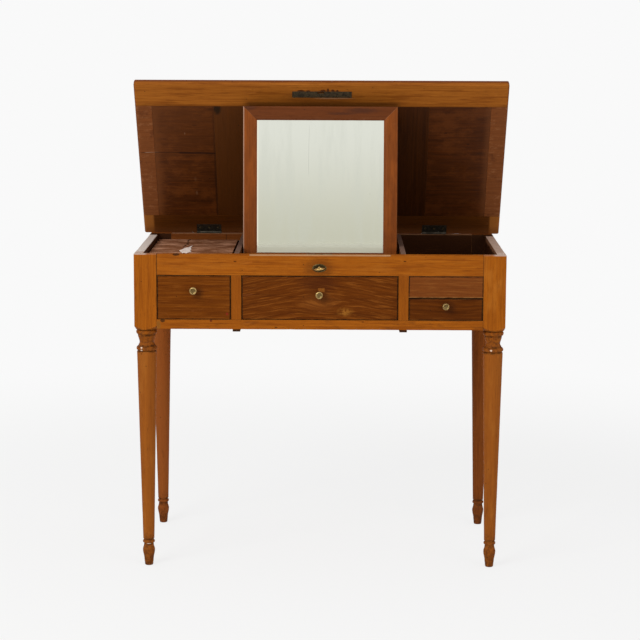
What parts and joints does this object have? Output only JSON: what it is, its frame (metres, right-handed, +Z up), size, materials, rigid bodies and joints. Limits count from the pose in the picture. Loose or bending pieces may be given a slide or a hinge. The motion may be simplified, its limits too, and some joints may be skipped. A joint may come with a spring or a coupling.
{
  "type": "flip top vanity table",
  "caption": "Dressing table on turned legs with a hinged lid that opens over wells, a framed mirror that folds up out of the middle well, and shallow drawers below.",
  "frame": {"origin": "on the floor under the middle of the whole table", "axes": "+Z up, +X to the right seen from the front, +Y from the drawer fronts to the back"},
  "size_m": [0.914, 0.4972, 1.1617],
  "materials": {
    "honey_wood": "waxed, worn",
    "pale_slip": "waxed",
    "red_wood": "waxed, worn",
    "carcase_wood": "worn",
    "plain_pine": "bare",
    "lid_face": "polished, worn",
    "lid_rails": "waxed",
    "lid_panels": "stained, worn",
    "mirror_frame": "polished",
    "mirror_plate": "old silvering",
    "dark_iron": "aged",
    "old_brass": "aged"
  },
  "bodies": {
    "case": {"leg_front_left": "honey_wood", "leg_front_right": "honey_wood", "leg_rear_left": "honey_wood", "leg_rear_right": "honey_wood", "front_top_rail": "honey_wood", "rail_slip": "pale_slip", "front_bottom_rail": "honey_wood", "muntins": "honey_wood", "blank_panel": "red_wood", "left_apron": "honey_wood", "right_apron": "honey_wood", "back_apron": "honey_wood", "left_partition": "carcase_wood", "right_partition": "carcase_wood", "left_well_floor": "carcase_wood", "middle_well_floor": "carcase_wood", "right_well_floor": "carcase_wood", "runner_bearers": "plain_pine", "outer_runners": "plain_pine", "inner_runners": "plain_pine", "cover_ledge": "carcase_wood", "lock_case": "old_brass", "escutcheon": "old_brass", "case_hinge_leaves": "dark_iron", "case_screws": "dark_iron"},
    "hinge_pins": {"hinge_pins": "dark_iron"},
    "lid": {"lid_top": "lid_face", "lid_front_rail": "lid_rails", "lid_back_rail": "lid_rails", "lid_end_strips": "lid_rails", "lid_left_panel": "lid_panels", "lid_middle_panel": "lid_panels", "lid_right_panel": "lid_panels", "lid_hinge_leaves": "dark_iron", "strike_plate": "dark_iron", "lid_screws": "dark_iron"},
    "mirror_pivots": {"mirror_pivots": "old_brass"},
    "mirror": {"mirror_stiles": "mirror_frame", "mirror_top_rail": "mirror_frame", "mirror_foot_rail": "mirror_frame", "mirror_glass": "mirror_plate", "mirror_backboard": "plain_pine", "strut_hinge": "old_brass"},
    "strut": {"mirror_strut": "plain_pine"},
    "cover": {"compartment_cover": "carcase_wood", "cover_pins": "dark_iron"},
    "left_drawer": {"left_drawer_front": "red_wood", "left_drawer_boards": "plain_pine", "left_drawer_bottom": "plain_pine", "left_knob": "old_brass"},
    "middle_drawer": {"middle_drawer_front": "red_wood", "middle_drawer_boards": "plain_pine", "middle_drawer_bottom": "plain_pine", "middle_knob": "old_brass"},
    "right_drawer": {"right_drawer_front": "red_wood", "right_drawer_boards": "plain_pine", "right_drawer_bottom": "plain_pine", "right_knob": "old_brass"},
    "key": {"key": "old_brass"},
    "lock_bolt": {"lock_bolt": "old_brass"}
  },
  "joints": [
    {"name": "lid_fold", "type": "hinge", "parent": "case", "child": "hinge_pins", "pos_m": [0, 0.23563, 0.7624], "axis": [-1, 0, 0], "range_deg": [-53.6, 0]},
    {"name": "lid_swing", "type": "hinge", "parent": "hinge_pins", "child": "lid", "pos_m": [0, 0.23563, 0.7624], "axis": [-1, 0, 0], "range_deg": [-4, 40]},
    {"name": "mirror_slide", "type": "slide", "parent": "case", "child": "mirror_pivots", "axis": [0, -1, 0], "range_m": [-0.238, 0]},
    {"name": "mirror_tilt", "type": "hinge", "parent": "mirror_pivots", "child": "mirror", "pos_m": [0, -0.05357, 0.73181], "axis": [-1, 0, 0], "range_deg": [-94, 0]},
    {"name": "strut_swing", "type": "hinge", "parent": "mirror", "child": "strut", "pos_m": [-0.0015, -0.02441, 0.95532], "axis": [1, 0, 0], "range_deg": [-19, 0]},
    {"name": "cover_lift", "type": "hinge", "parent": "case", "child": "cover", "pos_m": [-0.31, 0.20593, 0.743], "axis": [-1, 0, 0], "range_deg": [0, 50]},
    {"name": "left_drawer_slide", "type": "slide", "parent": "case", "child": "left_drawer", "axis": [0, -1, 0], "range_m": [0, 0.27]},
    {"name": "middle_drawer_slide", "type": "slide", "parent": "case", "child": "middle_drawer", "axis": [0, -1, 0], "range_m": [0, 0.27]},
    {"name": "right_drawer_slide", "type": "slide", "parent": "case", "child": "right_drawer", "axis": [0, -1, 0], "range_m": [0, 0.27]},
    {"name": "key_turn", "type": "hinge", "parent": "case", "child": "key", "pos_m": [-0.0015, -0.21857, 0.7305], "axis": [0, 1, 0], "range_deg": [0, 90]},
    {"name": "bolt_throw", "type": "slide", "parent": "case", "child": "lock_bolt", "axis": [0, 0, 1], "range_m": [0, 0.008]}
  ],
  "couplings": [
    {"joint": "mirror_slide", "follows": "lid_fold", "m_per_rad": 0.25441},
    {"joint": "mirror_tilt", "follows": "lid_fold", "ratio": 1.7537},
    {"joint": "strut_swing", "follows": "lid_fold", "ratio": 0.35447},
    {"joint": "bolt_throw", "follows": "key_turn", "m_per_rad": 0.00509}
  ]
}
